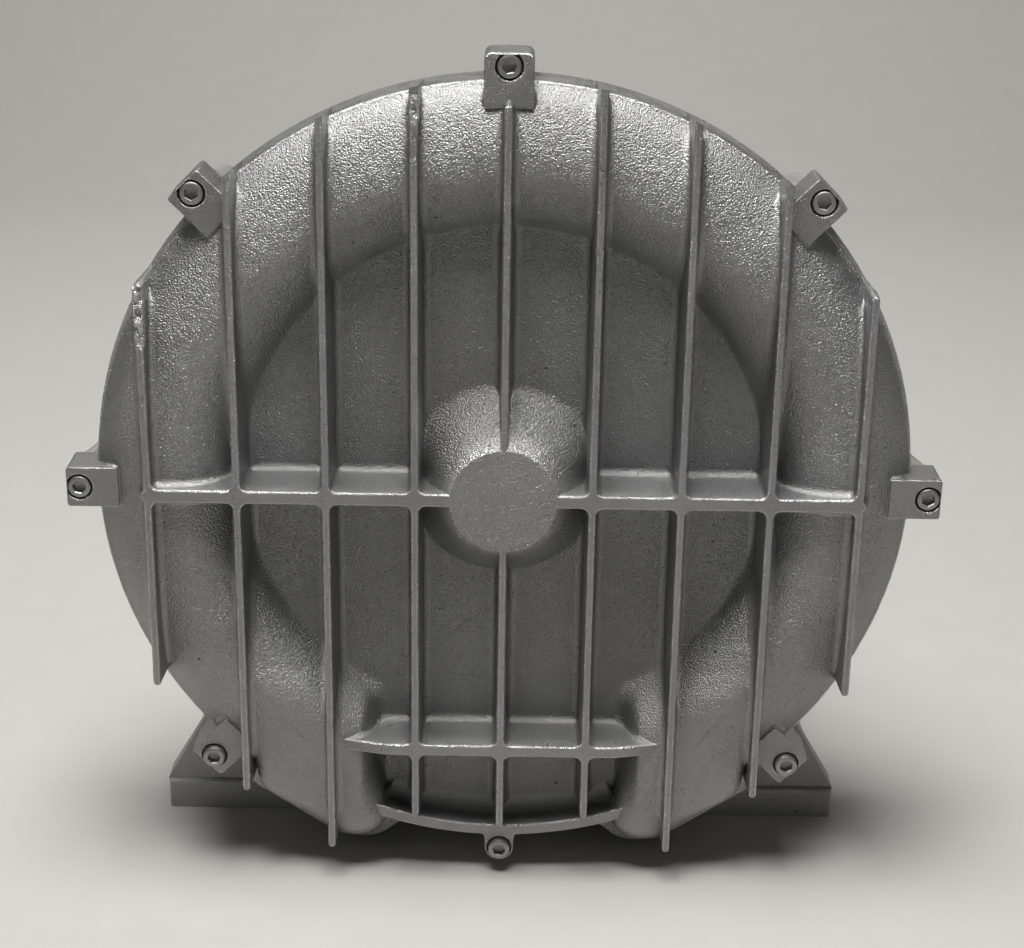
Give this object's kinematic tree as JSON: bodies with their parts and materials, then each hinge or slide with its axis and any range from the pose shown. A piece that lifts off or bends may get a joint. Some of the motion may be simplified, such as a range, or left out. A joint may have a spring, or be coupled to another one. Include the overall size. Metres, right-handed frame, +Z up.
{
  "type": "side channel blower",
  "caption": "Single-stage side channel blower with a ribbed cast cover, double-sided bucket impeller, finned fan-cooled motor and two silenced threaded ports on a foot casting.",
  "frame": {"origin": "on the ground, at the centre of the four foot bolt holes", "axes": "+Z up, +Y along the shaft from the ribbed cover towards the motor's fan end, +X to the right seen from the cover"},
  "size_m": [0.381, 0.376, 0.3805],
  "materials": {
    "black_plastic": "moulded plastic",
    "board_plastic": "moulded phenolic",
    "brass": "plain brass",
    "cast_silver": "painted and blasted cast aluminium, satin",
    "copper": "enamelled copper winding",
    "foam": "open-cell polyurethane foam",
    "gasket": "gasket sheet",
    "housing_silver": "cast aluminium, satin",
    "lamination": "electrical steel laminations",
    "machined_aluminium": "machined",
    "rubber": "black nitrile rubber",
    "screw_steel": "dark zinc-plated steel",
    "sheet_steel": "painted steel sheet",
    "steel": "ground steel"
  },
  "bodies": {
    "casing": {"bearing_retainer": "steel", "blanking_plug": "black_plastic", "box_gasket": "gasket", "box_screws": "screw_steel", "cover_screws": "screw_steel", "cowl_screws": "screw_steel", "drive_bearing_outer_ring": "steel", "end_shield": "housing_silver", "fan_bearing_outer_ring": "steel", "fan_cowl": "sheet_steel", "front_cover": "cast_silver", "gland_body": "black_plastic", "gland_nut": "black_plastic", "gland_seal": "rubber", "impeller_housing": "housing_silver", "lid_gasket": "gasket", "lid_screws": "screw_steel", "motor_frame": "housing_silver", "port_flange_left": "housing_silver", "port_flange_right": "housing_silver", "port_gasket_left": "gasket", "port_gasket_right": "gasket", "port_screws_left": "screw_steel", "port_screws_right": "screw_steel", "preload_spring": "steel", "retainer_screws": "screw_steel", "shaft_seal": "rubber", "silencer_foam_left": "foam", "silencer_foam_right": "foam", "silencer_gasket_left": "gasket", "silencer_gasket_right": "gasket", "silencer_left": "housing_silver", "silencer_right": "housing_silver", "silencer_screws_left": "screw_steel", "silencer_screws_right": "screw_steel", "stator_core": "lamination", "stator_windings": "copper", "terminal_board": "board_plastic", "terminal_box": "housing_silver", "terminal_lid": "housing_silver", "terminal_links": "brass", "terminal_studs": "brass", "tie_bolts": "screw_steel"},
    "rotor": {"impeller": "machined_aluminium", "impeller_key": "steel", "clamp_washer": "steel", "clamp_bolt": "screw_steel", "shaft_spacer": "steel", "shaft": "steel", "rotor_core": "lamination", "cooling_fan": "black_plastic", "fan_clip": "steel", "drive_bearing_inner_ring": "steel", "fan_bearing_inner_ring": "steel"},
    "drive_ball_set": {"drive_bearing_balls": "steel", "drive_bearing_cage": "brass"},
    "fan_ball_set": {"fan_bearing_balls": "steel", "fan_bearing_cage": "brass"}
  },
  "joints": [
    {"name": "rotor_spin", "type": "hinge", "parent": "casing", "child": "rotor", "pos_m": [0, 0, 0.19], "axis": [0, 1, 0], "continuous": true},
    {"name": "drive_ball_set_spin", "type": "hinge", "parent": "casing", "child": "drive_ball_set", "pos_m": [0, 0, 0.19], "axis": [0, 1, 0], "continuous": true},
    {"name": "fan_ball_set_spin", "type": "hinge", "parent": "casing", "child": "fan_ball_set", "pos_m": [0, 0, 0.19], "axis": [0, 1, 0], "continuous": true}
  ],
  "couplings": [
    {"joint": "drive_ball_set_spin", "follows": "rotor_spin", "ratio": 0.3969},
    {"joint": "fan_ball_set_spin", "follows": "rotor_spin", "ratio": 0.3969}
  ]
}
